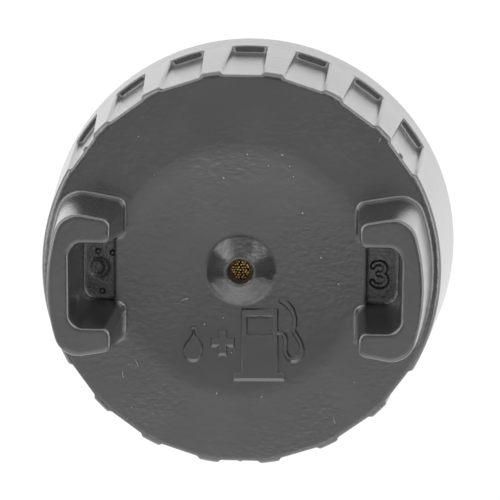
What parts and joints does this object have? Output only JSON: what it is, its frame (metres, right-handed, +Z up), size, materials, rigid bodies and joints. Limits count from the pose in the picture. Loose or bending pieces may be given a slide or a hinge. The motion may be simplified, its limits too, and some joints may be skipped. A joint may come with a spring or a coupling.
{
  "type": "fuel filler cap",
  "caption": "Screw-on fuel filler cap: drafted skirt with grip recesses, C-shaped grip lugs on the face, a vent cone with a sintered filter, and a vent valve and neck gasket inside.",
  "frame": {"origin": "centre of the skirt's open end, on the plane that the cap rests on", "axes": "+Z up the cap's axis to its face, +X through the middle of one grip lug"},
  "size_m": [0.056, 0.056, 0.0368],
  "materials": {
    "shell_nylon": "injection moulded glass-filled nylon, satin with a faint orange peel",
    "gasket_rubber": "moulded nitrile rubber, matt",
    "filter_bronze": "sintered bronze granules",
    "valve_rubber": "moulded fluoro-rubber, matt",
    "cage_acetal": "injection moulded acetal, natural"
  },
  "bodies": {
    "root": {"cap_shell": "shell_nylon", "neck_gasket": "gasket_rubber", "vent_filter": "filter_bronze", "duckbill_valve": "valve_rubber", "valve_cage": "cage_acetal"}
  },
  "joints": []
}
